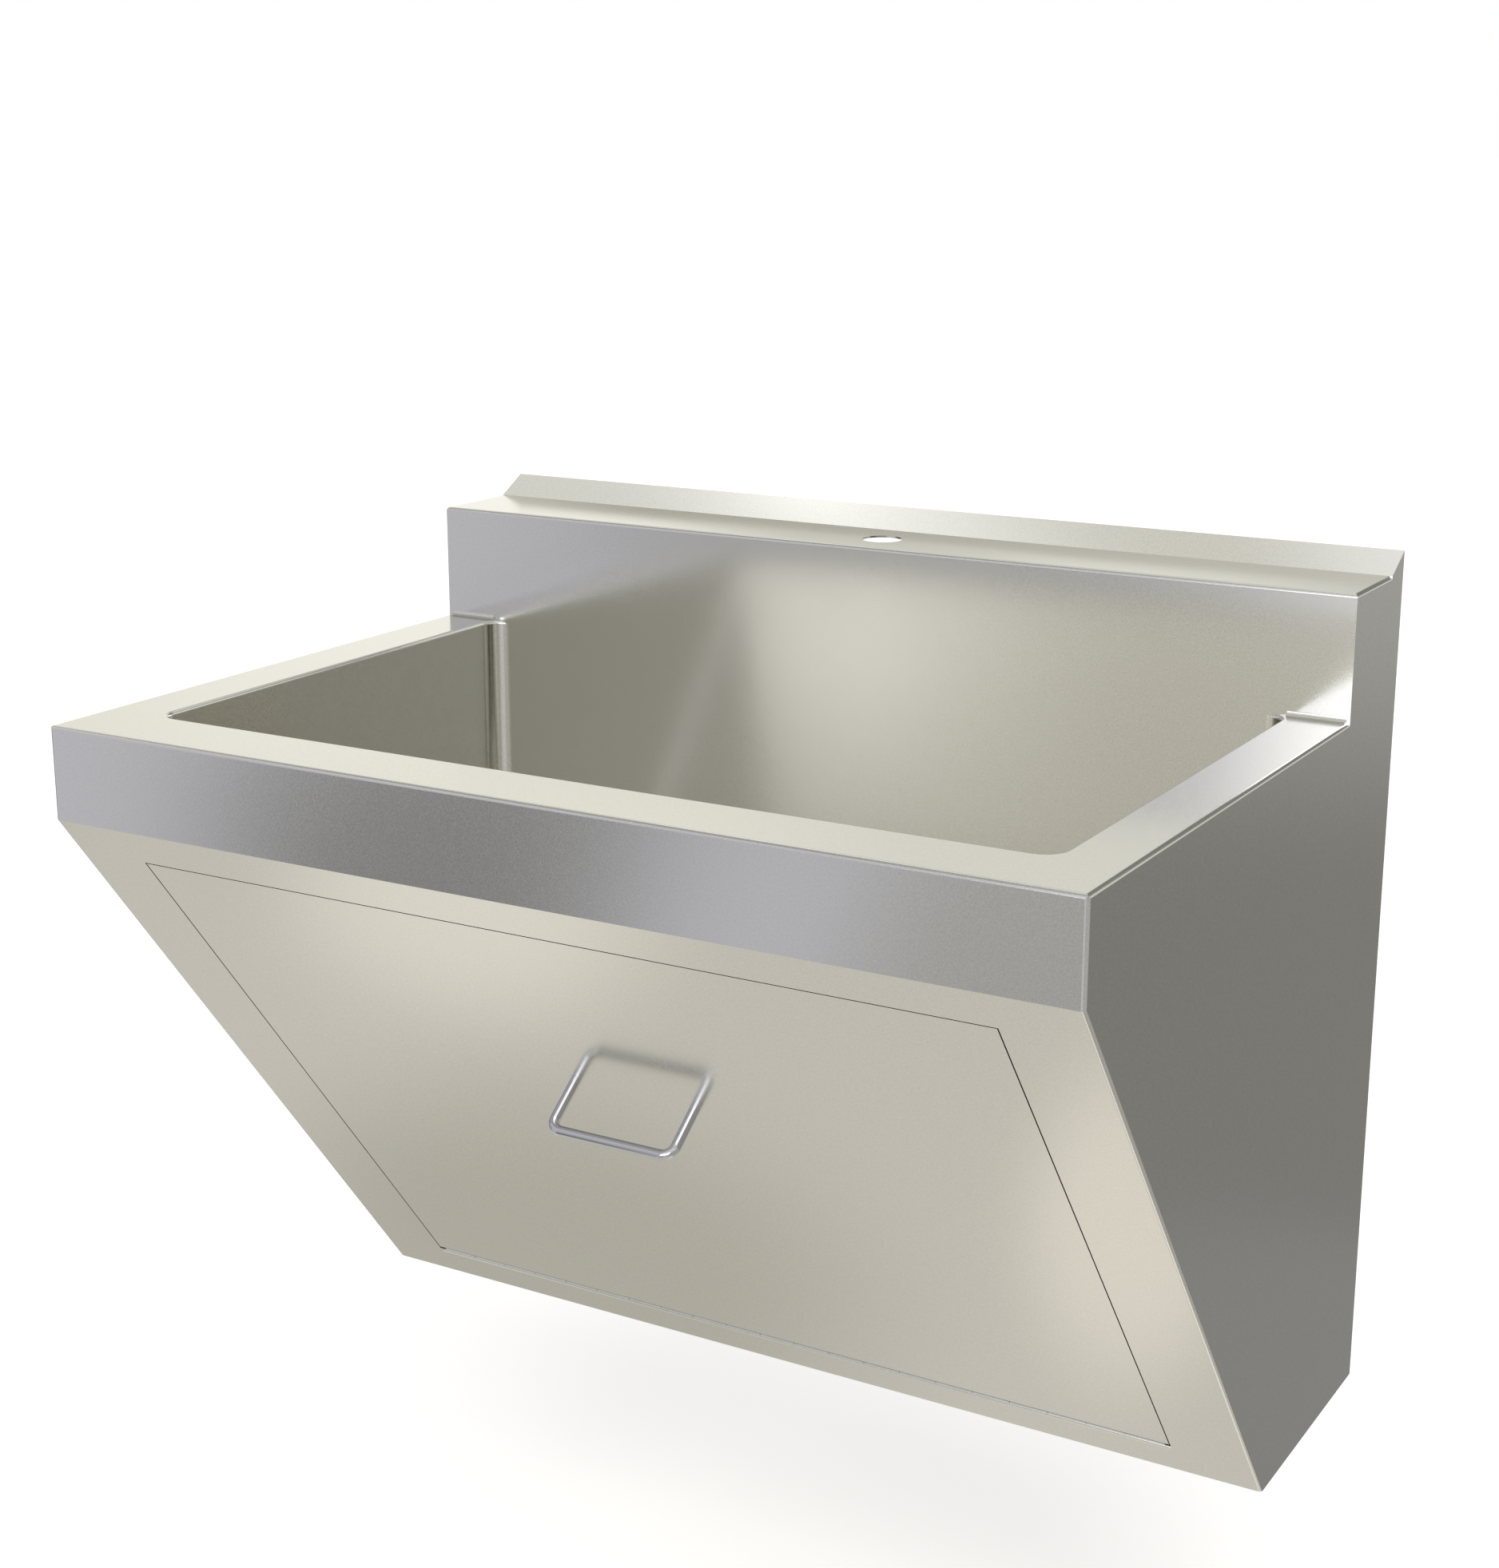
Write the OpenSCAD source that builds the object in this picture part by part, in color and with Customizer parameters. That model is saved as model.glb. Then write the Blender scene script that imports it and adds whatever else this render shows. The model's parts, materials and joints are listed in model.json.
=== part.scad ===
// Wall-hung surgical scrub sink in stainless sheet, one station, with a drop-down access panel.
// X runs to the right, the front faces -Y and Z is up. The wall plane is y = 0.
// The origin is the centre of the four wall bolts.

/* [Overall] */
// Width over the side sheets
overall_w = 790; // [720:1:1100]
// Depth from the wall to the front of the rim
overall_d = 578; // [560:1:640]
// Height of the rim above the bottom edge
rim_h = 558; // [540:1:600]
// Thickness of the cabinet and bowl sheet
sheet = 1.5; // [1.2:0.1:2]
// Radius of the ground and bent outer edges
edge_r = 3; // [2.2:0.1:4]

/* [Front] */
// Height of the upright band below the rim
band_h = 69; // [50:1:90]
// Depth of the cabinet at its foot
foot_d = 209; // [200:1:230]
// Width of the turned-in foot of the apron
foot_return = 25; // [18:1:32]

/* [Splash and ledge] */
// Rise of the splash from the rim to the ledge
splash_rise = 92.5; // [70:0.5:140]
// Distance of the splash and the back of the bowl from the wall
splash_d = 109; // [100:1:125]
// Depth of the bevel behind the ledge
bevel_run = 27; // [15:1:35]
// Rise of the bevel
bevel_rise = 15; // [8:1:25]
// Turned-down lip behind the bevel
splash_lip = 15; // [8:1:18]
// Hole for a single tap in the ledge
tap_hole_d = 32; // [25:0.5:38]

/* [Bowl] */
// Width of the rim at each side
side_rim_w = 46.5; // [35:0.5:70]
// Width of the rim in front of the bowl
front_rim_w = 61; // [50:1:75]
// Height of the bowl floor at the waste above the bottom edge
bowl_floor_h = 268; // [258:1:298]
// Inside corner radius of the bowl
bowl_corner_r = 15; // [10:1:20]
// Height of the upright lip at the top of the bowl's front wall, which slopes back below it
front_lip_h = 10; // [8:1:44]
// Distance of the waste from the wall
waste_from_wall = 215; // [205:1:225]

/* [Access opening] */
// Width of the apron beside the opening
side_margin = 62.5; // [55:0.5:90]
// Height of the apron below the opening, along the slope
opening_foot = 35; // [30:1:45]
// Height of the apron above the opening, along the slope
opening_head = 35; // [28:1:60]
// Depth of the turned-in edge round the opening
frame_return = 26; // [22:1:30]

/* [Access panel] */
// Thickness of the panel sheet
panel_sheet = 1.2; // [1:0.1:1.5]
// Gap between the panel and its frame
panel_gap = 1; // [0.8:0.1:2]
// Depth of the panel's turned edges
panel_return = 14; // [12:0.5:16]
// How far the panel drops open, in degrees
open_angle = 90; // [60:1:95]

/* [Pull handle] */
// Distance between the handle's screws
handle_centres = 100; // [64:1:160]
// Diameter of the handle wire
wire_d = 8; // [6:0.5:10]
// Reach of the handle from the panel to the middle of its bar
handle_reach = 34.5; // [26:0.5:45]
// Bend radius of the handle at the middle of the wire
handle_bend_r = 9; // [7:0.5:12]
// Distance of the handle below the top of the opening
handle_drop = 194; // [150:1:210]

/* [Hinge] */
// Outside diameter of the hinge knuckles
barrel_d = 4.4; // [4:0.1:4.6]
// Diameter of the hinge pin
hinge_pin_d = 2; // [1.6:0.1:2.2]
// Depth of each hinge leaf behind the pin
leaf_w = 15; // [12:0.5:18]
// Number of knuckles along the hinge
knuckle_count = 21; // [11:2:31]

/* [Stays] */
// Distance of the stay pivots from the hinge pin
stay_radius = 90; // [80:1:100]
// Thickness of the slotted stays
stay_t = 2; // [1.5:0.1:3]
// Width of the slotted stays
stay_w = 14; // [12:0.5:18]
// Diameter of the studs and rivets that carry the stays
stud_d = 6; // [5:0.1:6.5]

/* [Waste and trap] */
// Outside diameter of the waste flange
waste_flange_d = 114; // [108:1:120]
// Outside diameter of the waste cup
cup_d = 86; // [80:1:90]
// Depth of the waste cup below the bowl floor
cup_depth = 40; // [36:1:46]
// Outside diameter of the waste pipe
pipe_d = 32; // [28:0.5:34]
// Wall of the waste fittings
pipe_wall = 1.5; // [1:0.1:2]
// Bend radius of the trap at the middle of the pipe
trap_r = 35; // [33:1:38]
// Drop from the bowl floor to the waste outlet in the wall
outlet_drop = 58; // [54:1:66]

/* [Wall fixing] */
// Distance between the wall bolts across the sink
bolt_spread = 600; // [400:5:640]
// Drop from the ledge to the upper bolts
upper_bolt_drop = 85.5; // [70.5:5:150.5]
// Height of the lower bolts above the bottom edge
lower_bolt_h = 65; // [50:5:80]
// Diameter of the bolt holes
bolt_hole_d = 10; // [8:0.5:14]
// Height of the wall rails
rail_h = 70; // [50:1:76]
// Depth of the wall rails
rail_d = 25; // [18:1:34]
// Thickness of the wall rails
rail_sheet = 2.5; // [2:0.1:4]

/* [Hidden] */
$fn = 72;

steel = [0.74, 0.73, 0.69];
steel_light = [0.84, 0.83, 0.79];
steel_dark = [0.55, 0.55, 0.53];
chrome = [0.8, 0.8, 0.82];
zinc = [0.66, 0.67, 0.66];
brass = [0.72, 0.6, 0.35];
rubber = [0.12, 0.12, 0.12];
grey_plastic = [0.45, 0.46, 0.47];

// Common allowances
over = 4;               // overrun of every cut
touch_clear = 0.3;      // between pieces that move past each other
turn_clear = 0.05;      // radial, between a pin and its bore
slip_clear = 0.3;       // radial, between a pipe and its socket
thread_clear = 0.1;     // radial, between a screw and its hole
round_bite = 0.02;      // how far a rounding circle reaches past the faces that it blends

// Heights and the outline of the side sheet
ledge_h = rim_h + splash_rise;
top_h = ledge_h + bevel_rise;
band_foot_h = rim_h - band_h;
upper_bolt_h = ledge_h - upper_bolt_drop;
origin_h = (upper_bolt_h + lower_bolt_h) / 2;
outline = [
    [0, 0],
    [0, top_h],
    [-bevel_run, ledge_h],
    [-splash_d, ledge_h],
    [-splash_d, rim_h],
    [-overall_d, rim_h],
    [-overall_d, band_foot_h],
    [-foot_d, 0]
];
side_skin = inset(outline, [0, sheet, sheet, sheet, sheet, sheet, sheet, 0]);
inner_skin = inset(outline, [for (p = outline) sheet]);

// The sloping front
slope_a = atan2(overall_d - foot_d, band_foot_h);
slope_len = norm([overall_d - foot_d, band_foot_h]);
opening_w = overall_w - 2 * side_margin;
opening_top = slope_len - opening_head;

// Cabinet details
rear_return = 20;
side_foot_return = 20;
splash_tail = 20;
rim_fillet_r = 4;
cusp_trim = 3;
tap_from_wall = (splash_d + bevel_run) / 2;

// Bowl
bowl_w = overall_w - 2 * side_rim_w;
bowl_front = overall_d - front_rim_w;
bowl_top_h = rim_h - sheet;
floor_h = bowl_floor_h;
floor_front_rise = 6;
floor_rear_rise = 4;
slope_dir = [-sin(slope_a), cos(slope_a)];
slope_in = [cos(slope_a), sin(slope_a)];
slope_foot = [-foot_d, 0];
slope_clear = slope_in * ([-bowl_front, rim_h - front_lip_h] - slope_foot) - sheet;
wall_line = slope_foot + slope_in * (slope_clear + sheet);
bowl_shoulder = meet(wall_line, slope_dir, [-bowl_front, 0], [0, 1]);
bowl_toe = meet(wall_line, slope_dir, [0, floor_h + floor_front_rise], [1, 0]);
cavity = [
    [-splash_d, rim_h + over],
    [-bowl_front, rim_h + over],
    bowl_shoulder,
    bowl_toe,
    [-waste_from_wall, floor_h],
    [-splash_d, floor_h + floor_rear_rise]
];
bowl_skin = inset(cavity, [over + sheet, -sheet, -sheet, -sheet, -sheet, -sheet]);
recess_d = 126;
recess_depth = 3;
recess_h = floor_h - recess_depth;
cup_hole_clear = 0.5;

// Sound pads
pad_t = 4;
side_pad_l = 220;
side_pad_h = 120;
side_pad_drop = 60;
front_pad_w = 420;
front_pad_l = 150;
front_pad_rise = 60;

// Ledge braces
brace_w = 24;
brace_h = 14;
brace_place = 110;
brace_gap = 2;

// Floor pan
pan_t = 1.2;
pan_gap = 2;
pan_front_gap = 6;
slot_l = 60;
slot_w = 6;
slot_pitch = 100;
slot_count = 5;
pan_screw_r = 2;
pan_screw_head_r = 4;
pan_screw_head_h = 2.4;
pan_screw_inset = 12;
pan_screw_shares = [0.2, 0.5];  // of the foot's depth, along each side

// Earth stud
earth_place = 240;
earth_r = 3;
earth_l = 22;
earth_nut_r = 5.8;
earth_nut_h = 5;

// Hinge
hinge_gap = 5;
hinge_sink = 0.3;
axis_y = opening_foot + hinge_gap / 2;
axis_z = -(barrel_d / 2 + hinge_sink);
leaf_t = hinge_gap / 2 - hinge_pin_d / 2;
hinge_end_gap = 4;
hinge_l = opening_w - 2 * (panel_gap + hinge_end_gap);
knuckle_pitch = hinge_l / knuckle_count;
knuckle_gap = 0.4;
fold_r = 2;
rivet_count = 7;
rivet_r = 1.6;
rivet_head_r = 3.2;
rivet_head_h = 1.2;
rivet_depth = 10;

// Panel
panel_w = opening_w - 2 * panel_gap;
panel_foot = opening_foot + hinge_gap;
panel_top = opening_top - panel_gap;
panel_lip = 16;
stiffener_w = 60;
stiffener_flange = 12;
stiffener_h = 10;
stiffener_end_gap = 45;
stiffener_l = panel_w - 2 * stiffener_end_gap;
stiffener_sheet = panel_sheet;
upper_stiffener_rise = 75;
lower_stiffener_drop = 130;
handle_y = opening_top - handle_drop;
handle_screw_r = 2;
handle_screw_in = 12;
handle_screw_head_r = 4.5;
handle_screw_head_h = 2.6;

// Magnetic catches and their strikes
catch_place = 200;
catch_l = 46;
catch_h = 16;
strike_t = 1.5;
strike_l = 38;
strike_h = 10;
strike_drop = 4;
catch_front = -(panel_return + strike_t + touch_clear);

// Slotted stays: both pivots lie at stay_radius from the hinge pin, so that
// each stay turns on the panel at exactly half the panel's angle
stay_inset = 16;
pivot_depth = 8;
stay_lead = 16;
stud_depth_angle = asin(pivot_depth / stay_radius) + stay_lead;
pivot_y = axis_y + sqrt(stay_radius * stay_radius - pivot_depth * pivot_depth);
pivot_z = axis_z - pivot_depth;
stud_y = axis_y + stay_radius * cos(stud_depth_angle);
stud_z = axis_z - stay_radius * sin(stud_depth_angle);
chord_shut = 2 * stay_radius * sin(stay_lead / 2);
chord_open = 2 * stay_radius * sin((stay_lead + open_angle) / 2);
stay_angle = atan2(stud_z - pivot_z, stud_y - pivot_y);
stay_tail = 6;
slot_clear = 0.4;
stay_x = opening_w / 2 - stay_inset;
lug_t = 1.5;
lug_w = 18;
lug_foot = 14;
stay_head_r = 5.5;
stay_head_t = 1.6;
collar_r = 5.5;
bracket_t = 1.5;
bracket_w = 30;
bracket_rim = 10;
stay_nut_r = 6.5;
stay_nut_t = 4;

// Waste
waste_flange_t = 1.5;
cup_wall = 1.5;
cup_seat_w = 3;
cup_seat_drop = 8;
cup_seat_t = 2;
tail_drop = 30;
socket_wall = 2;
gasket_t = 3;
waste_nut_t = 9;
waste_nut_wall = 14;
strainer_t = 1.5;
strainer_hole_r = 2.6;
strainer_ring_pitch = 9.5;
strainer_rings = 3;
strainer_holes_step = 6;
strainer_knob_r = 5;
strainer_knob_h = 5;
strainer_play = 0.4;

// Trap
pipe_r = pipe_d / 2;
socket_in_r = pipe_r + slip_clear;
socket_r = socket_in_r + socket_wall;
outlet_h = floor_h - outlet_drop;
cup_bottom_h = recess_h - cup_depth;
tail_bottom_h = cup_bottom_h - tail_drop;
pipe_insert = 15;
trap_top_h = outlet_h - trap_r - pipe_insert / 2;
trap_leg = 45;
trap_centre_h = trap_top_h - trap_leg;
trap_out_y = waste_from_wall - 2 * trap_r;
arm_corner_y = trap_out_y - trap_r;
nut_wall = 5;
nut_above = 8;
nut_below = 14;
boss_r = 11;
boss_drop = 8;
plug_r = 8;
plug_head_r = 10;
plug_head_h = 7;
plug_in = 10;
flange_r = 32;
flange_t = 4;

function unit_in(a, b) = [a[1] - b[1], b[0] - a[0]] / norm(b - a);
function meet(p, u, q, v) =
    p + u * ((q[0] - p[0]) * v[1] - (q[1] - p[1]) * v[0]) / (u[0] * v[1] - u[1] * v[0]);
function inset(pts, by) = [
    for (i = [0 : len(pts) - 1])
        let (
            n = len(pts),
            h = (i + n - 1) % n,
            a = pts[h],
            b = pts[i],
            c = pts[(i + 1) % n]
        )
        meet(a + unit_in(a, b) * by[h], b - a, b + unit_in(b, c) * by[i], c - b)
];

// Heights are drawn from the bottom edge; this moves them to the wall bolts
module place() translate([0, 0, -origin_h]) children();

// Frame on the sloping front: x to the right, y up the slope, z out of the face
module on_slope() translate([0, -foot_d, 0]) rotate([90 + slope_a, 0, 0]) children();

// Extrudes an outline drawn in y and z along x, centred
module along_x(l) translate([-l / 2, 0, 0]) rotate([90, 0, 90]) linear_extrude(l) children();

module both_sides() {
    children();
    mirror([1, 0, 0]) children();
}

// Takes the sharp corner off an edge that runs along x from the origin; the solid lies at +y and +z
module round_off(l, r, before, after, bite = round_bite) difference() {
    translate([-before, -over, -over]) cube([l + before + after, r + over, r + over]);
    translate([-before - over, r, r]) rotate([0, 90, 0])
        cylinder(r = r + bite, h = l + before + after + 2 * over);
}

// Rounds the side edge from point a to point b of an outline, at half width w
module side_round(a, b, w, r, before, after, bite = round_bite) translate([w, 0, 0])
    rotate([90, 0, 90]) translate([a[0], a[1], 0]) rotate([0, 0, atan2(b[1] - a[1], b[0] - a[0])])
        mirror([0, 0, 1]) round_off(norm(b - a), r, before, after, bite);

// All the rounded outer edges of the cabinet: the ledge, splash, rim, band and slope
module soft_edges() {
    grow = [[2, 0, edge_r], [3, edge_r, 0], [4, 0, edge_r], [5, edge_r, edge_r], [6, edge_r, edge_r]];
    both_sides() for (g = grow)
        side_round(outline[g[0]], outline[g[0] + 1], overall_w / 2, edge_r, g[1], g[2]);
    for (i = [3, 5]) translate([-overall_w / 2, outline[i][0], outline[i][1]])
        mirror([0, 0, 1]) round_off(overall_w, edge_r, over, over);
}

// The bent inner edge of the rim round the bowl, which turns by rear_turn at its rear corners
module mouth_edges(rear_turn) {
    translate([-bowl_w / 2 + bowl_corner_r, -bowl_front, rim_h]) rotate([180, 0, 0])
        round_off(bowl_w - 2 * bowl_corner_r, edge_r, 0, 0);
    both_sides() {
        translate([bowl_w / 2, -bowl_front + bowl_corner_r, rim_h]) rotate([180, 0, 90])
            round_off(bowl_front - splash_d - 2 * bowl_corner_r, edge_r, 0, 0);
        translate([bowl_w / 2 - bowl_corner_r, -bowl_front + bowl_corner_r, rim_h])
            rotate([0, 0, -90]) rotate_extrude(angle = 90) mouth_corner();
        translate([bowl_w / 2 - bowl_corner_r, -splash_d - bowl_corner_r, rim_h])
            rotate_extrude(angle = rear_turn) mouth_corner();
    }
}

module mouth_corner() difference() {
    translate([bowl_corner_r - over, -edge_r]) square([edge_r + over, edge_r + over]);
    translate([bowl_corner_r + edge_r, -edge_r]) circle(r = edge_r + round_bite);
}

// Plain block from its low corner to its high corner
module block(a, b) translate(a) cube(b - a);

module rounded_plan(w, y0, y1, r) {
    translate([-w / 2 + r, y0]) square([w - 2 * r, y1 - y0]);
    translate([-w / 2, y0 + r]) square([w, y1 - y0 - 2 * r]);
    for (x = [-1, 1], y = [y0 + r, y1 - r]) translate([x * (w / 2 - r), y]) circle(r = r);
}

module ring(r_out, r_in, h) difference() {
    cylinder(r = r_out, h = h);
    translate([0, 0, -over]) cylinder(r = r_in, h = h + 2 * over);
}

// Right side sheet with its turned rear and foot edges
module side_sheet() place() difference() {
    union() {
        translate([overall_w / 2 - sheet / 2, 0, 0]) along_x(sheet) polygon(side_skin);
        block([overall_w / 2 - rear_return, -sheet, 0],
            [overall_w / 2 - sheet / 2, 0, top_h - splash_lip]);
        block([overall_w / 2 - side_foot_return, -foot_d + foot_return, 0],
            [overall_w / 2 - sheet / 2, -sheet / 2, sheet]);
    }
    soft_edges();
}

module right_side() color(steel_dark) side_sheet();
module left_side() color(steel_dark) mirror([1, 0, 0]) side_sheet();

module rim_deck() color(steel_light) place() difference() {
    union() {
        translate([0, 0, rim_h - sheet]) linear_extrude(sheet) difference() {
            translate([-overall_w / 2, -overall_d]) square([overall_w, overall_d - splash_d]);
            rounded_plan(bowl_w, -bowl_front, -splash_d, bowl_corner_r);
            translate([-bowl_w / 2 + bowl_corner_r - cusp_trim, -splash_d - bowl_corner_r])
                square([bowl_w - 2 * (bowl_corner_r - cusp_trim), bowl_corner_r + over]);
        }
        both_sides() translate([bowl_w / 2, -splash_d - rim_fillet_r, rim_h]) rotate([90, 0, 90])
            linear_extrude(side_rim_w - edge_r) difference() {
                translate([0, -sheet / 2]) square([rim_fillet_r, rim_fillet_r + sheet / 2]);
                translate([0, rim_fillet_r]) circle(r = rim_fillet_r);
            }
    }
    soft_edges();
    mouth_edges(90);
}

module front_apron() color(steel) place() {
    difference() {
        union() {
            along_x(overall_w) polygon([
                [-overall_d, rim_h - sheet], outline[6], outline[7],
                side_skin[7], inner_skin[6], [-overall_d + sheet, rim_h - sheet]
            ]);
            along_x(overall_w - 2 * sheet) polygon([
                outline[7], [-foot_d + foot_return, 0], [-foot_d + foot_return, sheet], inner_skin[7]
            ]);
            on_slope() block([-opening_w / 2 - sheet, opening_foot - sheet, -frame_return],
                [opening_w / 2 + sheet, opening_top + sheet, -sheet / 2]);
        }
        on_slope() block([-opening_w / 2, opening_foot, -frame_return - over],
            [opening_w / 2, opening_top, over]);
        on_slope() translate([-opening_w / 2, opening_foot, 0]) mirror([0, 1, 0]) mirror([0, 0, 1])
            round_off(opening_w, fold_r, 0, 0);
        on_slope() translate([0, axis_y, axis_z]) mirror([0, 1, 0]) rivet_places()
            cylinder(r = rivet_r + thread_clear, h = hinge_gap);
        soft_edges();
    }
}

module backsplash() color(steel_light) place() difference() {
    union() {
        along_x(overall_w) polygon([
            outline[1], outline[2], outline[3], [-splash_d, rim_h - sheet],
            [-splash_d + sheet, rim_h - sheet], inner_skin[3], inner_skin[2], side_skin[1]
        ]);
        along_x(overall_w - 2 * sheet) polygon([
            outline[1], inner_skin[1], [-sheet, top_h - splash_lip], [0, top_h - splash_lip]
        ]);
        both_sides() block([bowl_w / 2 + sheet, -splash_d, rim_h - splash_tail],
            [overall_w / 2 - sheet, -splash_d + sheet, rim_h - sheet / 2]);
    }
    translate([0, -tap_from_wall, ledge_h - sheet - over])
        cylinder(r = tap_hole_d / 2, h = sheet + 2 * over);
    soft_edges();
}

// Solid between the bowl's walls, for the outside and the inside
module bowl_form(pts, w, r) difference() {
    along_x(2 * w) polygon(pts);
    both_sides() for (i = [1 : len(pts) - 1])
        side_round(pts[i], pts[(i + 1) % len(pts)], w, r, r, r, 0);
}

module bowl() color(steel) place() difference() {
    union() {
        bowl_form(bowl_skin, bowl_w / 2 + sheet, bowl_corner_r + sheet);
        translate([0, -waste_from_wall, recess_h - sheet])
            cylinder(r = recess_d / 2 + sheet, h = recess_depth + sheet);
    }
    bowl_form(cavity, bowl_w / 2, bowl_corner_r);
    translate([0, -waste_from_wall, recess_h]) cylinder(r = recess_d / 2, h = recess_depth + over);
    translate([0, -waste_from_wall, recess_h - sheet - over])
        cylinder(r = cup_d / 2 + cup_hole_clear, h = sheet + 2 * over);
    mouth_edges(acos(cusp_trim / bowl_corner_r));
}

module side_pad() place() translate([bowl_w / 2 + sheet, -(bowl_front + splash_d + side_pad_l) / 2,
    bowl_top_h - side_pad_drop - side_pad_h]) cube([pad_t, side_pad_l, side_pad_h]);

module right_sound_pad() color(rubber) side_pad();
module left_sound_pad() color(rubber) mirror([1, 0, 0]) side_pad();

module front_sound_pad() color(rubber) place() on_slope()
    translate([-front_pad_w / 2, norm(bowl_toe - wall_line) + front_pad_rise, -slope_clear])
        cube([front_pad_w, front_pad_l, pad_t]);

// Channel that bolts to the wall, between the turned rear edges of the sides
module rail(h) color(zinc) place() difference() {
    along_x(overall_w - 2 * rear_return) polygon([
        [0, h - rail_h / 2], [0, h + rail_h / 2], [-rail_d, h + rail_h / 2],
        [-rail_d, h + rail_h / 2 - rail_sheet], [-rail_sheet, h + rail_h / 2 - rail_sheet],
        [-rail_sheet, h - rail_h / 2 + rail_sheet], [-rail_d, h - rail_h / 2 + rail_sheet],
        [-rail_d, h - rail_h / 2]
    ]);
    for (x = [-1, 1]) translate([x * bolt_spread / 2, over, h]) rotate([90, 0, 0])
        cylinder(r = bolt_hole_d / 2, h = rail_sheet + 2 * over);
}

module upper_rail() rail(upper_bolt_h);
module lower_rail() rail(lower_bolt_h);

// Hat channel under the ledge, beside the tap hole
module ledge_brace() color(zinc) place() translate([brace_place, -splash_d + sheet, ledge_h - sheet])
    rotate([-90, 0, 0]) linear_extrude(splash_d - bevel_run - sheet - brace_gap) difference() {
        translate([-brace_w / 2, 0]) square([brace_w, brace_h]);
        translate([-brace_w / 2 + sheet, sheet]) square([brace_w - 2 * sheet, brace_h]);
    }

module right_ledge_brace() ledge_brace();
module left_ledge_brace() mirror([1, 0, 0]) ledge_brace();

module pan_screw_places() {
    x_side = overall_w / 2 - pan_screw_inset;
    y_front = foot_d - foot_return / 2 - pan_gap;
    for (x = [-1, 0, 1]) translate([x * bolt_spread / 2, -y_front, 0]) children();
    for (x = [-1, 1], k = pan_screw_shares) translate([x * x_side, -k * foot_d, 0]) children();
}

module floor_pan() color(steel) place() difference() {
    block([-overall_w / 2 + sheet + pan_gap, -foot_d + pan_front_gap, sheet],
        [overall_w / 2 - sheet - pan_gap, -sheet - pan_gap, sheet + pan_t]);
    for (i = [0 : slot_count - 1])
        translate([(i - (slot_count - 1) / 2) * slot_pitch - slot_l / 2, -foot_d / 2, sheet - over])
            cube([slot_l, slot_w, pan_t + 2 * over]);
    pan_screw_places() cylinder(r = pan_screw_r + thread_clear, h = sheet + pan_t + over);
}

module pan_screws() color(zinc) place() pan_screw_places() {
    translate([0, 0, sheet]) cylinder(r = pan_screw_r, h = pan_t + pan_screw_head_h);
    translate([0, 0, sheet + pan_t]) cylinder(r = pan_screw_head_r, h = pan_screw_head_h);
}

module earth_stud() color(brass) place() translate([earth_place, -rail_sheet, lower_bolt_h])
    rotate([90, 0, 0]) cylinder(r = earth_r, h = earth_l);

module earth_nut() color(brass) place() translate([earth_place, -rail_sheet, lower_bolt_h])
    rotate([90, 0, 0]) difference() {
        cylinder(r = earth_nut_r, h = earth_nut_h, $fn = 6);
        translate([0, 0, -over]) cylinder(r = earth_r + thread_clear, h = earth_nut_h + 2 * over);
    }

// Everything on the waste stands on its axis, with z = 0 at the seat in the recess
module at_waste() place() translate([0, -waste_from_wall, recess_h]) children();

module waste_flange() color(chrome) at_waste() rotate_extrude() polygon([
    [cup_d / 2 - cup_wall, waste_flange_t],
    [waste_flange_d / 2, waste_flange_t],
    [waste_flange_d / 2, 0],
    [cup_d / 2, 0],
    [cup_d / 2, -cup_depth],
    [socket_r, -cup_depth],
    [socket_r, -cup_depth - tail_drop],
    [socket_in_r, -cup_depth - tail_drop],
    [socket_in_r, -cup_depth + cup_wall],
    [cup_d / 2 - cup_wall, -cup_depth + cup_wall],
    [cup_d / 2 - cup_wall, -cup_seat_drop - cup_seat_t],
    [cup_d / 2 - cup_wall - cup_seat_w, -cup_seat_drop - cup_seat_t],
    [cup_d / 2 - cup_wall - cup_seat_w, -cup_seat_drop],
    [cup_d / 2 - cup_wall, -cup_seat_drop]
]);

module waste_gasket() color(rubber) at_waste() translate([0, 0, -sheet - gasket_t])
    ring(waste_flange_d / 2, cup_d / 2 + thread_clear, gasket_t);

module waste_nut() color(zinc) at_waste() translate([0, 0, -sheet - gasket_t - waste_nut_t])
    ring(cup_d / 2 + waste_nut_wall, cup_d / 2 + thread_clear, waste_nut_t);

module strainer() color(chrome) at_waste() translate([0, 0, -cup_seat_drop]) difference() {
    union() {
        cylinder(r = cup_d / 2 - cup_wall - strainer_play, h = strainer_t);
        cylinder(r = strainer_knob_r, h = strainer_t + strainer_knob_h);
    }
    for (k = [1 : strainer_rings], i = [1 : k * strainer_holes_step])
        rotate([0, 0, i * 360 / (k * strainer_holes_step)])
            translate([k * strainer_ring_pitch + strainer_knob_r / 2, 0, -over])
                cylinder(r = strainer_hole_r, h = strainer_t + 2 * over);
}

module tailpiece() color(chrome) place()
    translate([0, -waste_from_wall, trap_top_h - pipe_insert])
        ring(pipe_r, pipe_r - pipe_wall, tail_bottom_h - trap_top_h + 2 * pipe_insert);

// Nut that draws a pipe into a socket whose mouth is at height h; up is 1 for a socket that opens upward
module slip_nut(y, h, up) place() translate([0, -y, h]) mirror([0, 0, up > 0 ? 0 : 1]) difference() {
    translate([0, 0, -nut_below]) cylinder(r = socket_r + nut_wall, h = nut_below + nut_above);
    translate([0, 0, -nut_below - over]) cylinder(r = socket_r + thread_clear, h = nut_below + over);
    translate([0, 0, -over]) cylinder(r = pipe_r + slip_clear, h = nut_above + 2 * over);
}

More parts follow.
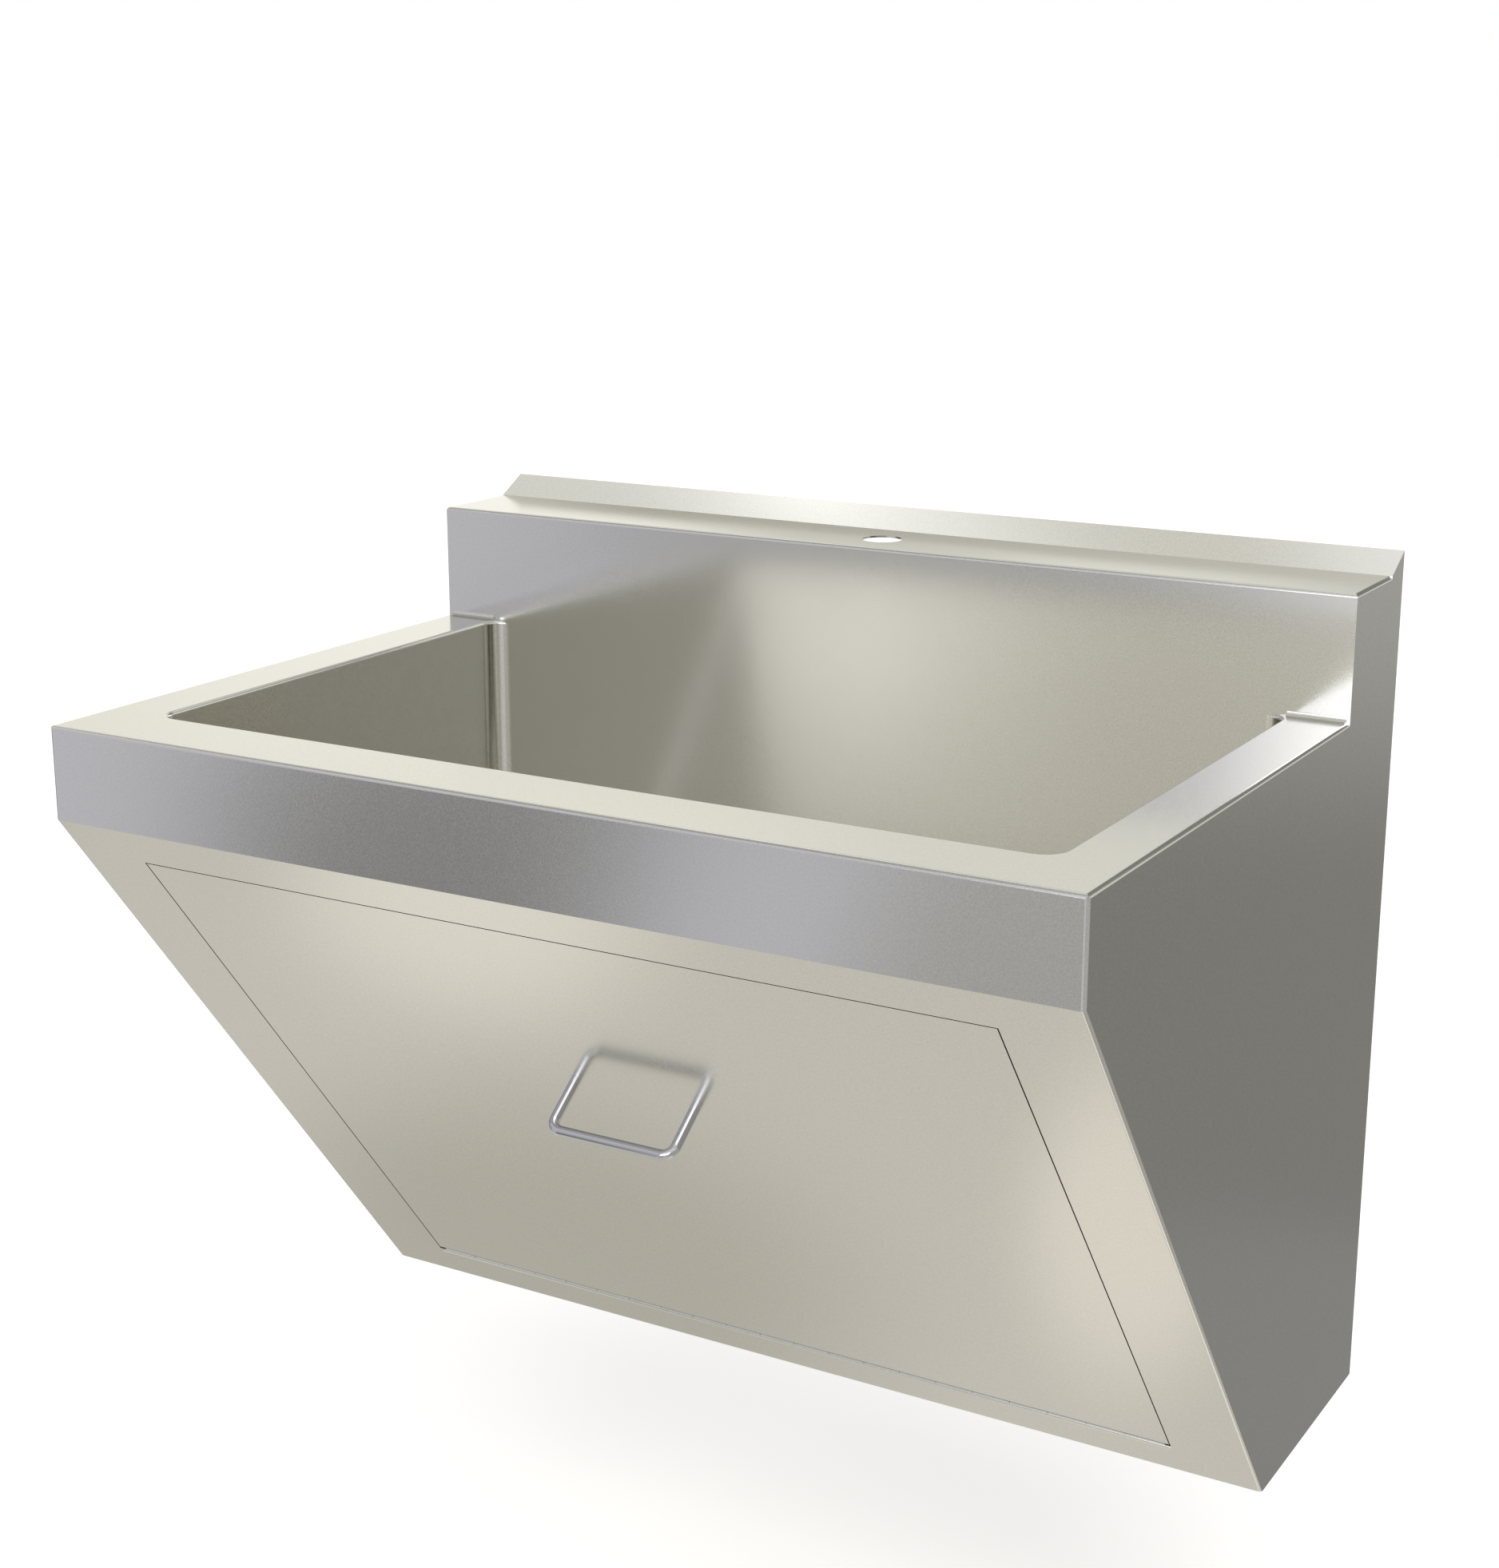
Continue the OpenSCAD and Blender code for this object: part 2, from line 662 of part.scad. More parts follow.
module tail_slip_nut() color(chrome) slip_nut(waste_from_wall, tail_bottom_h, 0);
module inlet_slip_nut() color(chrome) slip_nut(waste_from_wall, trap_top_h, 1);
module outlet_slip_nut() color(chrome) slip_nut(trap_out_y, trap_top_h, 1);

// Half of the trap's turn, swept round its centre
module bend(r, r_tube, a) rotate([0, -90, 0]) rotate_extrude(angle = a) translate([r, 0]) circle(r = r_tube);

module trap_bend() color(chrome) place() difference() {
    union() {
        for (y = [waste_from_wall, trap_out_y]) translate([0, -y, trap_centre_h])
            cylinder(r = socket_r, h = trap_top_h - trap_centre_h);
        translate([0, -waste_from_wall + trap_r, trap_centre_h]) rotate([-90, 0, 0])
            bend(trap_r, socket_r, 180);
        translate([0, -waste_from_wall + trap_r, trap_centre_h - trap_r - socket_r - boss_drop])
            cylinder(r = boss_r, h = boss_drop + socket_r);
    }
    for (y = [waste_from_wall, trap_out_y]) translate([0, -y, trap_centre_h])
        cylinder(r = socket_in_r, h = trap_top_h - trap_centre_h + over);
    translate([0, -waste_from_wall + trap_r, trap_centre_h]) rotate([-90, 0, 0])
        bend(trap_r, socket_in_r, 180);
    translate([0, -waste_from_wall + trap_r, trap_centre_h - trap_r - socket_r - boss_drop - over])
        cylinder(r = plug_r + thread_clear, h = boss_drop + socket_r + over);
}

module cleanout_plug() color(brass) place()
    translate([0, -waste_from_wall + trap_r, trap_centre_h - trap_r - socket_r - boss_drop]) {
        translate([0, 0, -plug_head_h]) cylinder(r = plug_r, h = plug_in + plug_head_h);
        translate([0, 0, -plug_head_h]) cylinder(r = plug_head_r, h = plug_head_h, $fn = 6);
    }

module trap_arm() color(chrome) place() difference() {
    arm_solid(pipe_r, 0);
    arm_solid(pipe_r - pipe_wall, over);
}

module arm_solid(r, more) {
    foot = trap_top_h - pipe_insert;
    translate([0, -trap_out_y, foot - more]) cylinder(r = r, h = outlet_h - trap_r - foot + more);
    translate([0, -arm_corner_y, outlet_h - trap_r]) rotate([90, 0, 0]) bend(trap_r, r, 90);
    translate([0, -arm_corner_y, outlet_h]) rotate([-90, 0, 0]) cylinder(r = r, h = arm_corner_y + more);
}

module wall_flange() color(chrome) place() translate([0, 0, outlet_h]) rotate([90, 0, 0])
    ring(flange_r, pipe_r + slip_clear, flange_t);

// One leaf of the continuous hinge, seen from the pin: the leaf lies at +y and runs to -z.
// first is 0 or 1, the first knuckle that it carries
module leaf(first) difference() {
    union() {
        block([-hinge_l / 2, hinge_pin_d / 2, -leaf_w],
            [hinge_l / 2, hinge_gap / 2, -barrel_d / 2 - hinge_sink]);
        for (i = [first : 2 : knuckle_count - 1])
            translate([-hinge_l / 2 + i * knuckle_pitch + knuckle_gap / 2, 0, 0]) {
                block([0, hinge_pin_d / 2, -leaf_w], [knuckle_pitch - knuckle_gap, hinge_gap / 2, 0]);
                rotate([0, 90, 0]) cylinder(r = barrel_d / 2, h = knuckle_pitch - knuckle_gap);
            }
    }
    translate([-hinge_l / 2 - over, 0, 0]) rotate([0, 90, 0])
        cylinder(r = hinge_pin_d / 2 + turn_clear, h = hinge_l + 2 * over);
    rivet_places() cylinder(r = rivet_r + thread_clear, h = hinge_gap);
}

module rivet_places() {
    pitch = hinge_l / rivet_count;
    for (i = [0 : rivet_count - 1])
        translate([(i - (rivet_count - 1) / 2) * pitch, 0, -rivet_depth]) rotate([-90, 0, 0]) children();
}

module at_pin() place() on_slope() translate([0, axis_y, axis_z]) children();

module frame_leaf() color(zinc) at_pin() mirror([0, 1, 0]) leaf(0);
module panel_leaf() color(zinc) at_pin() leaf(1);

module hinge_pin() color(steel_light) at_pin() translate([-hinge_l / 2, 0, 0]) rotate([0, 90, 0])
    cylinder(r = hinge_pin_d / 2, h = hinge_l);

// Rivets through a leaf and the turned edge behind it, which is t thick
module leaf_rivets(t) rivet_places() {
    translate([0, 0, hinge_pin_d / 2]) cylinder(r = rivet_r, h = leaf_t + t + rivet_head_h);
    translate([0, 0, hinge_gap / 2 + t]) cylinder(r = rivet_head_r, h = rivet_head_h);
}

module frame_rivets() color(zinc) at_pin() mirror([0, 1, 0]) leaf_rivets(sheet);
module panel_rivets() color(zinc) at_pin() leaf_rivets(panel_sheet);

module catch_body() color(grey_plastic) place() on_slope()
    translate([catch_place - catch_l / 2, opening_top - catch_h, -frame_return])
        cube([catch_l, catch_h, frame_return + catch_front]);

module right_catch() catch_body();
module left_catch() mirror([1, 0, 0]) catch_body();

module strike() color(zinc) place() on_slope()
    translate([catch_place - strike_l / 2, panel_top - panel_sheet - strike_drop - strike_h,
        -panel_return - strike_t]) cube([strike_l, strike_h, strike_t]);

module right_strike() strike();
module left_strike() mirror([1, 0, 0]) strike();

module access_panel() color(steel) place() on_slope() difference() {
    union() {
        difference() {
            block([-panel_w / 2, panel_foot, -panel_return], [panel_w / 2, panel_top, 0]);
            block([-panel_w / 2 + panel_sheet, panel_foot + panel_sheet, -panel_return - over],
                [panel_w / 2 - panel_sheet, panel_top - panel_sheet, -panel_sheet]);
        }
        block([-(panel_w - panel_sheet) / 2, panel_top - panel_sheet - panel_lip, -panel_return],
            [(panel_w - panel_sheet) / 2, panel_top - panel_sheet / 2, -panel_return + panel_sheet]);
    }
    translate([-panel_w / 2, panel_foot, 0]) mirror([0, 0, 1]) round_off(panel_w, fold_r, over, over);
    both_sides() translate([handle_centres / 2, handle_y, -panel_sheet - over])
        cylinder(r = handle_screw_r + thread_clear, h = panel_sheet + 2 * over);
    translate([0, axis_y, axis_z]) rivet_places() cylinder(r = rivet_r + thread_clear, h = hinge_gap);
}

// Hat channel across the inside of the panel, its middle at y
module stiffener(y) color(zinc) place() on_slope() along_x(stiffener_l) {
    half = stiffener_w / 2;
    in = half - stiffener_flange;
    t = stiffener_sheet;
    translate([y, -panel_sheet]) polygon([
        [-half, 0], [-in + t, 0], [-in + t, t - stiffener_h], [in - t, t - stiffener_h],
        [in - t, 0], [half, 0], [half, -t], [in, -t], [in, -stiffener_h], [-in, -stiffener_h],
        [-in, -t], [-half, -t]
    ]);
}

module upper_stiffener() stiffener(handle_y + upper_stiffener_rise);
module lower_stiffener() stiffener(handle_y - lower_stiffener_drop);

module pull_handle() color(chrome) place() on_slope() translate([0, handle_y, 0]) difference() {
    union() {
        both_sides() {
            translate([handle_centres / 2, 0, 0]) cylinder(r = wire_d / 2, h = handle_reach - handle_bend_r);
            translate([handle_centres / 2 - handle_bend_r, 0, handle_reach - handle_bend_r])
                rotate([90, 0, 0]) rotate_extrude(angle = 90) translate([handle_bend_r, 0])
                    circle(r = wire_d / 2);
        }
        translate([-handle_centres / 2 + handle_bend_r, 0, handle_reach]) rotate([0, 90, 0])
            cylinder(r = wire_d / 2, h = handle_centres - 2 * handle_bend_r);
    }
    both_sides() translate([handle_centres / 2, 0, -over])
        cylinder(r = handle_screw_r + thread_clear, h = handle_screw_in + over);
}

module handle_screws() color(zinc) place() on_slope() translate([0, handle_y, -panel_sheet])
    both_sides() translate([handle_centres / 2, 0, 0]) {
        translate([0, 0, -handle_screw_head_h])
            cylinder(r = handle_screw_r, h = handle_screw_in + handle_screw_head_h);
        translate([0, 0, -handle_screw_head_h]) cylinder(r = handle_screw_head_r, h = handle_screw_head_h);
    }

// Flat arm with a slot, along x from its pivot; z is its thickness, centred
module stay_arm() translate([0, 0, -stay_t / 2]) difference() {
    union() {
        cylinder(r = stay_w / 2, h = stay_t);
        translate([chord_open + stay_tail, 0, 0]) cylinder(r = stay_w / 2, h = stay_t);
        translate([0, -stay_w / 2, 0]) cube([chord_open + stay_tail, stay_w, stay_t]);
    }
    translate([0, 0, -over]) {
        cylinder(r = stud_d / 2 + turn_clear, h = stay_t + 2 * over);
        translate([chord_shut, 0, 0]) cylinder(r = stud_d / 2 + slot_clear, h = stay_t + 2 * over);
        translate([chord_open, 0, 0]) cylinder(r = stud_d / 2 + slot_clear, h = stay_t + 2 * over);
        translate([chord_shut, -stud_d / 2 - slot_clear, 0])
            cube([chord_open - chord_shut, stud_d + 2 * slot_clear, stay_t + 2 * over]);
    }
}

// Frame at a point of the right stay's plane, with z along the sink's width
module in_stay_plane(y, z) place() on_slope() translate([stay_x, y, z]) rotate([90, 0, 90]) children();

module right_stay() color(zinc) in_stay_plane(pivot_y, pivot_z) rotate([0, 0, stay_angle]) stay_arm();
module left_stay() mirror([1, 0, 0]) right_stay();

// Lug on the inside of the panel that carries the stay's rivet
module stay_lug() color(zinc) place() on_slope() difference() {
    union() {
        block([stay_x + stay_t / 2 + touch_clear, pivot_y - lug_w / 2, pivot_z - lug_w / 2],
            [stay_x + stay_t / 2 + touch_clear + lug_t, pivot_y + lug_w / 2, -panel_sheet]);
        block([stay_x + stay_t / 2 + touch_clear - lug_foot, pivot_y - lug_w / 2, -panel_sheet - lug_t],
            [stay_x + stay_t / 2 + touch_clear + lug_t, pivot_y + lug_w / 2, -panel_sheet]);
    }
    translate([stay_x, pivot_y, pivot_z]) rotate([0, 90, 0])
        cylinder(r = stud_d / 2 + thread_clear, h = stay_inset);
}

module right_stay_lug() stay_lug();
module left_stay_lug() mirror([1, 0, 0]) stay_lug();

module stay_rivet() color(steel_light) in_stay_plane(pivot_y, pivot_z) {
    half = stay_t / 2 + touch_clear;
    translate([0, 0, -half - stay_head_t])
        cylinder(r = stud_d / 2, h = 2 * (half + stay_head_t) + lug_t);
    translate([0, 0, -half - stay_head_t]) cylinder(r = stay_head_r, h = stay_head_t);
    translate([0, 0, half + lug_t]) cylinder(r = stay_head_r, h = stay_head_t);
}

module right_stay_rivet() stay_rivet();
module left_stay_rivet() mirror([1, 0, 0]) stay_rivet();

// Plate on the frame's turned edge that carries the fixed stud
module stay_bracket() color(zinc) place() on_slope() difference() {
    block([opening_w / 2 - bracket_t, stud_y - bracket_w / 2, stud_z - bracket_rim],
        [opening_w / 2, stud_y + bracket_w / 2, -panel_return - lug_t]);
    translate([opening_w / 2 - stay_inset, stud_y, stud_z]) rotate([0, 90, 0])
        cylinder(r = stud_d / 2 + thread_clear, h = stay_inset + over);
}

module right_stay_bracket() stay_bracket();
module left_stay_bracket() mirror([1, 0, 0]) stay_bracket();

module stay_stud() color(steel_light) in_stay_plane(stud_y, stud_z) {
    half = stay_t / 2 + touch_clear;
    translate([0, 0, -half - stay_nut_t]) cylinder(r = stud_d / 2, h = half + stay_nut_t + stay_inset);
    translate([0, 0, half]) cylinder(r = collar_r, h = stay_inset - bracket_t - half);
}

module right_stay_stud() stay_stud();
module left_stay_stud() mirror([1, 0, 0]) stay_stud();

module stay_nut() color(zinc) in_stay_plane(stud_y, stud_z)
    translate([0, 0, -stay_t / 2 - touch_clear - stay_nut_t]) difference() {
        cylinder(r = stay_nut_r, h = stay_nut_t, $fn = 6);
        translate([0, 0, -over]) cylinder(r = stud_d / 2 + thread_clear, h = stay_nut_t + 2 * over);
    }

module right_stay_nut() stay_nut();
module left_stay_nut() mirror([1, 0, 0]) stay_nut();

left_side();
right_side();
rim_deck();
front_apron();
backsplash();
bowl();
left_sound_pad();
right_sound_pad();
front_sound_pad();
upper_rail();
lower_rail();
left_ledge_brace();
right_ledge_brace();
floor_pan();
pan_screws();
earth_stud();
earth_nut();
waste_flange();
waste_gasket();
waste_nut();
strainer();
tailpiece();
tail_slip_nut();
trap_bend();
inlet_slip_nut();
outlet_slip_nut();
trap_arm();
wall_flange();
cleanout_plug();
frame_leaf();
hinge_pin();
frame_rivets();
left_catch();
right_catch();
left_stay_bracket();
right_stay_bracket();
left_stay_stud();
right_stay_stud();
left_stay_nut();
right_stay_nut();
access_panel();
upper_stiffener();
lower_stiffener();
pull_handle();
handle_screws();
panel_leaf();
panel_rivets();
left_strike();
right_strike();
left_stay_lug();
right_stay_lug();
left_stay_rivet();
right_stay_rivet();
left_stay();
right_stay();
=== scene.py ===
import json
import math

import bpy
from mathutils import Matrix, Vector

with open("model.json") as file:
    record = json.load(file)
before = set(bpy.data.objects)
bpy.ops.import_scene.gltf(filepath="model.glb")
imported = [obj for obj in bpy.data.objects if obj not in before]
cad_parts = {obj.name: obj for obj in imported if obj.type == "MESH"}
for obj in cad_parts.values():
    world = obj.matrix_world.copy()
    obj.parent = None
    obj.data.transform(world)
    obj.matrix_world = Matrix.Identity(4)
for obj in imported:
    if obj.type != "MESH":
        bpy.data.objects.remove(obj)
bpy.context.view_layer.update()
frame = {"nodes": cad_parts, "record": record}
nodes = frame["nodes"]
print("frame loaded:", len(nodes), "pieces")


# One operator and its reflected form, each of which adds one Math node
def mathPair(operation):
    def plain(wire, other):
        return wire.math(operation, wire, other)

    def reflected(wire, other):
        return wire.math(operation, other, wire)

    return plain, reflected


# One socket of a material or of the world
class Wire:
    __add__, __radd__ = mathPair("ADD")
    __sub__, __rsub__ = mathPair("SUBTRACT")
    __mul__, __rmul__ = mathPair("MULTIPLY")
    __truediv__, __rtruediv__ = mathPair("DIVIDE")
    __pow__, __rpow__ = mathPair("POWER")

    def __init__(self, tree, port):
        self.tree = tree
        self.port = port

    def node(self, kind, settings, sockets, out=0):
        made = self.tree.nodes.new(kind)
        for key, value in settings.items():
            setattr(made, key, value)
        for key, value in sockets.items():
            if isinstance(value, Wire):
                self.tree.links.new(value.port, made.inputs[key])
            else:
                made.inputs[key].default_value = value
        return Wire(self.tree, made.outputs[out]) if made.outputs else made

    def math(self, operation, first, second=0.0, clamp=False):
        return self.node("ShaderNodeMath", {"operation": operation, "use_clamp": clamp}, {0: first, 1: second})

    def clipped(self):
        return self.math("ADD", self, 0.0, True)

    # 0 below low, 1 above high, smooth between
    def ramp(self, low, high):
        return self.node("ShaderNodeMapRange", {"interpolation_type": "SMOOTHSTEP"},
                         {"Value": self, "From Min": low, "From Max": high})

    # 1 between low and high, with soft ends
    def window(self, low, high, soft):
        return self.ramp(low - soft, low + soft) * (1 - self.ramp(high - soft, high + soft))

    # The first colour where this value is 0, the second where it is 1
    def blend(self, first, second):
        return self.node("ShaderNodeMix", {"data_type": "RGBA"}, {0: self, 6: first, 7: second}, 2)

    # This colour times another one
    def tinted(self, other):
        return self.node("ShaderNodeMix", {"data_type": "RGBA", "blend_type": "MULTIPLY"},
                         {0: 1.0, 6: self, 7: other}, 2)

    def noise(self, scale, detail, roughness=0.55, stretch=(1, 1, 1)):
        spot = self.node("ShaderNodeMapping", {}, {"Vector": self, "Scale": stretch})
        return self.node("ShaderNodeTexNoise", {}, {
            "Vector": spot, "Scale": scale, "Detail": detail, "Roughness": roughness})

    def cells(self, scale, out=0):
        return self.node("ShaderNodeTexVoronoi", {}, {"Vector": self, "Scale": scale}, out)

    def part(self, axis):
        return self.node("ShaderNodeSeparateXYZ", {}, {0: self}, "XYZ".index(axis))


def startMaterial(name):
    made = bpy.data.materials.new(name)
    made.use_nodes = True
    made.node_tree.nodes.clear()
    place = Wire(made.node_tree, None).node("ShaderNodeTexCoord", {}, {}, "Object")
    return made, place


def endMaterial(place, surface):
    place.node("ShaderNodeOutputMaterial", {}, {"Surface": surface})


def rgb(red, green, blue):
    return (red, green, blue, 1.0)


def turnTowards(direction):
    return Vector(direction).to_track_quat("-Z", "Y").to_euler()


# Camera, at the photograph's angle
cameraPlan = {
    "place": (0.9133, -1.8385, 0.6681),
    "look": (-0.48730, 0.83410, -0.25849),
    "lens": 58.548,
    "sensor": 36.0,
    "reach": 100.0,
}


def setCamera(plan):
    made = bpy.data.objects.new("camera", bpy.data.cameras.new("camera"))
    bpy.context.scene.collection.objects.link(made)
    made.location = plan["place"]
    made.rotation_euler = turnTowards(plan["look"])
    made.data.lens = plan["lens"]
    made.data.sensor_width = plan["sensor"]
    made.data.clip_end = plan["reach"]
    bpy.context.scene.camera = made
    bpy.context.scene.view_settings.view_transform = "Standard"


setCamera(cameraPlan)
print("camera set")

# Floor, world, lamps and the cards that the steel mirrors
floorPlan = {"height": -0.66, "half": 60.0, "shade": rgb(0.80, 0.79, 0.765), "lift": 0.445}
worldPlan = {"shade": rgb(1, 1, 1), "seen": 1.0, "ambient": 0.50}
lampPlan = {
    "key": {"from": (1.3, -2.0, 2.9), "spread": 38, "strength": 1.45},
    "fill": {"from": (-2.4, -0.9, 2.2), "spread": 60, "strength": 0.35},
}
# Cards: right edge, left edge, soft edge, lowest, highest, soft edge, shade. All are angles in degrees, seen from the
# middle of the sink, and they turn left from the front: 90 is the left, 180 the back and -90 the right.
# Patches lie on the floor: centre, half sizes, soft edge as a share of them, shade.
# What comes later covers what comes before
cardPlan = {
    "centre": (0.0, -0.35, 0.2),
    "radius": 8.0,
    "slices": 72,
    "rings": 24,
    "overFloor": 0.003,
    "floorFade": (0.01, 0.05),
    "low": rgb(0.97, 0.96, 0.88),
    "high": rgb(0.87, 0.865, 0.84),
    "highRamp": (20, 50),
    "ground": rgb(0.70, 0.676, 0.627),
    "groundRamp": (-20, -30),
    "cards": [
        (152, 180, 4, 9, 24, 4, rgb(0.86, 0.85, 0.79)),
        (149.5, 157, 2.5, 7, 11.5, 1.5, rgb(0.60, 0.59, 0.52)),
        (134, 147, 3, 5, 13, 2, rgb(1.12, 1.10, 1.03)),
        (134, 163, 3, 28, 42, 2, rgb(0.54, 0.52, 0.47)),
        (-190, -150, 8, 3, 42, 4, rgb(0.24, 0.24, 0.23)),
        (137, 160, 4, 50, 66, 3, rgb(0.775, 0.765, 0.71)),
        (147, 165, 2.5, 58.3, 70, 1.5, rgb(1.12, 1.12, 1.14)),
        (30, 108, 8, 42, 72, 5, rgb(0.45, 0.45, 0.45)),
        (136, 166, 6, 2, 8, 2, rgb(1.2, 1.2, 1.16)),
        (122.5, 134.2, 1.5, 49.5, 62, 1.5, rgb(1.14, 1.14, 1.12)),
        (127.8, 133.9, 1.5, 48.4, 52.7, 1.5, rgb(2.75, 2.75, 2.9)),
        (-160, -60, 14, 30, 44.5, 5, rgb(0.53, 0.53, 0.56)),
        (-132.3, -60, 2, 38, 66, 3.5, rgb(0.57, 0.57, 0.56)),
        (-175, -134.5, 3, 45, 70, 4, rgb(0.93, 0.93, 1.0)),
        (64, 120, 4, -33, 20, 4, rgb(0.42, 0.42, 0.44)),
        (-120, -30, 4, -40, 20, 4, rgb(0.50, 0.50, 0.51)),
        (-30, 64, 3, -40, 36, 4, rgb(0.64, 0.64, 0.72)),
        (20, 36.8, 3, -12, 4, 3, rgb(0.47, 0.47, 0.50)),
        (29.3, 43, 3, -40, -11.5, 1.5, rgb(0.265, 0.265, 0.265)),
        (-5, 20.5, 1.5, -40, -12, 2, rgb(0.455, 0.45, 0.45)),
        (-30, 16, 1, 3, 30, 3, rgb(2.6, 2.62, 2.85)),
        (-180, -120, 9, -40, -3, 4, rgb(0.415, 0.415, 0.405)),
        (-180, -120, 9, -50, -12, 4, rgb(0.25, 0.243, 0.232)),
    ],
    "patches": [
        # The first patch is a painted shadow of the sink on the floor beneath it, which the steel mirrors
        (-0.45, -0.16, 0.34, 0.15, 0.5, rgb(0.545, 0.525, 0.475)),
        (-0.62, -0.50, 0.22, 0.11, 0.5, rgb(0.95, 0.92, 0.86)),
        (0.15, -0.33, 0.10, 0.14, 0.5, rgb(0.92, 0.88, 0.80)),
        (0.65, 0.65, 0.35, 0.35, 0.4, rgb(0.28, 0.28, 0.28)),
        (0.85, -0.35, 0.30, 0.35, 0.3, rgb(0.45, 0.44, 0.42)),
        (0.46, -0.42, 0.09, 0.32, 0.3, rgb(1.05, 1.02, 0.93)),
    ],
}


# 1 for what the camera sees directly, mirrored or through glass, and 0 for light that falls on the pieces
def lightPathSees(tree):
    seen = tree.node("ShaderNodeLightPath", {}, {}, "Is Camera Ray")
    ports = seen.port.node.outputs
    return (seen + Wire(tree.tree, ports["Is Glossy Ray"]) + Wire(tree.tree, ports["Is Transmission Ray"])).clipped()


def addStage(name, points, faces, paint):
    shape = bpy.data.meshes.new(name)
    shape.from_pydata(points, [], faces)
    shape.materials.append(paint)
    made = bpy.data.objects.new(name, shape)
    bpy.context.scene.collection.objects.link(made)
    return made


def setWorld(plan):
    world = bpy.data.worlds.new("room")
    bpy.context.scene.world = world
    world.use_nodes = True
    world.node_tree.nodes.clear()
    tree = Wire(world.node_tree, None)
    seen = lightPathSees(tree)
    strength = seen * plan["seen"] + (1 - seen) * plan["ambient"]
    shade = tree.node("ShaderNodeBackground", {}, {"Color": plan["shade"], "Strength": strength})
    tree.node("ShaderNodeOutputWorld", {}, {"Surface": shade})


def setFloor(plan):
    paint, place = startMaterial("pale floor")
    matt = place.node("ShaderNodeBsdfDiffuse", {}, {"Color": plan["shade"]})
    lift = place.node("ShaderNodeEmission", {}, {"Strength": lightPathSees(place) * plan["lift"]})
    endMaterial(place, place.node("ShaderNodeAddShader", {}, {0: matt, 1: lift}))
    half = plan["half"]
    corners = [(-half, -half), (half, -half), (half, half), (-half, half)]
    addStage("floor", [(x, y, plan["height"]) for x, y in corners], [(0, 1, 2, 3)], paint)


# Wide, soft lamps: they light the matt pieces and cast the shadow, and the cards make the gloss
def setLamp(name, plan):
    lamp = bpy.data.lights.new(name, "SUN")
    lamp.angle = math.radians(plan["spread"])
    lamp.energy = plan["strength"]
    made = bpy.data.objects.new(name, lamp)
    bpy.context.scene.collection.objects.link(made)
    made.rotation_euler = turnTowards(-Vector(plan["from"]))
    made.visible_glossy = False


def degrees(opposite, beside):
    return opposite.math("ARCTAN2", opposite, beside) * math.degrees(1)


# 1 between two angles, also across the back where they jump from -180 to 180
def sector(turn, low, high, soft):
    inside = turn.window(low, high, soft)
    if low - soft >= -180:
        return inside
    return (inside + (turn - 360).window(low, high, soft)).clipped()


# The dome stands on a ring just above the floor and is closed there by a disc
def domeShape(plan, foot):
    radius, slices, rings = plan["radius"], plan["slices"], plan["rings"]
    start = math.asin(foot / radius)
    around = [2 * math.pi * i / slices for i in range(slices)]
    points = []
    for ring in range(rings):
        rise = start + (math.pi / 2 - start) * ring / rings
        wide = radius * math.cos(rise)
        points += [(wide * math.cos(turn), wide * math.sin(turn), radius * math.sin(rise)) for turn in around]
    points.append((0, 0, radius))
    top = rings * slices
    faces = []
    for first in range(0, top, slices):
        for i in range(slices):
            here, after = first + i, first + (i + 1) % slices
            above = (top,) if first + slices == top else (after + slices, here + slices)
            faces.append((here, after) + above)
    faces.append(tuple(range(slices)))
    return points, faces


# Studio cards in a dome round the sink and on the floor; only mirrored rays see them
def setCards(plan):
    centre = Vector(plan["centre"])
    foot = floorPlan["height"] + plan["overFloor"] - centre.z
    paint, place = startMaterial("studio cards")
    x, y, z = (place.part(axis) for axis in "XYZ")
    turn = degrees(x * -1, y * -1)
    height = degrees(z, (x ** 2 + y ** 2) ** 0.5)
    shade = height.ramp(*plan["highRamp"]).blend(plan["low"], plan["high"])
    shade = height.ramp(*plan["groundRamp"]).blend(shade, plan["ground"])
    for low, high, soft, lowest, highest, softRise, tone in plan["cards"]:
        shade = (sector(turn, low, high, soft) * height.window(lowest, highest, softRise)).blend(shade, tone)
    fadeStart, fadeEnd = plan["floorFade"]
    onFloor = 1 - z.ramp(foot + fadeStart, foot + fadeEnd)
    for patchX, patchY, wide, deep, soft, tone in plan["patches"]:
        across = (x + (centre.x - patchX)) / wide
        along = (y + (centre.y - patchY)) / deep
        near = 1 - ((across ** 2 + along ** 2) ** 0.5).ramp(1 - soft, 1 + soft)
        shade = (near * onFloor).blend(shade, tone)
    endMaterial(place, place.node("ShaderNodeEmission", {}, {"Color": shade, "Strength": 1.0}))
    cards = addStage("studio cards", *domeShape(plan, foot), paint)
    cards.location = centre
    for rays in ("camera", "diffuse", "shadow", "transmission", "volume_scatter"):
        setattr(cards, "visible_" + rays, False)


setWorld(worldPlan)
setFloor(floorPlan)
for lampName, lampSettings in lampPlan.items():
    setLamp(lampName, lampSettings)
setCards(cardPlan)
print("room set")


# The shader that ends each finish. The bump dictionary gives the strength, the depth in metres and the height
def endFinish(place, shade, rough, bump, metallic):
    raised = place.node("ShaderNodeBump", {}, bump)
    endMaterial(place, place.node("ShaderNodeBsdfPrincipled", {}, {
        "Base Color": shade, "Metallic": metallic, "Roughness": rough, "Normal": raised}))


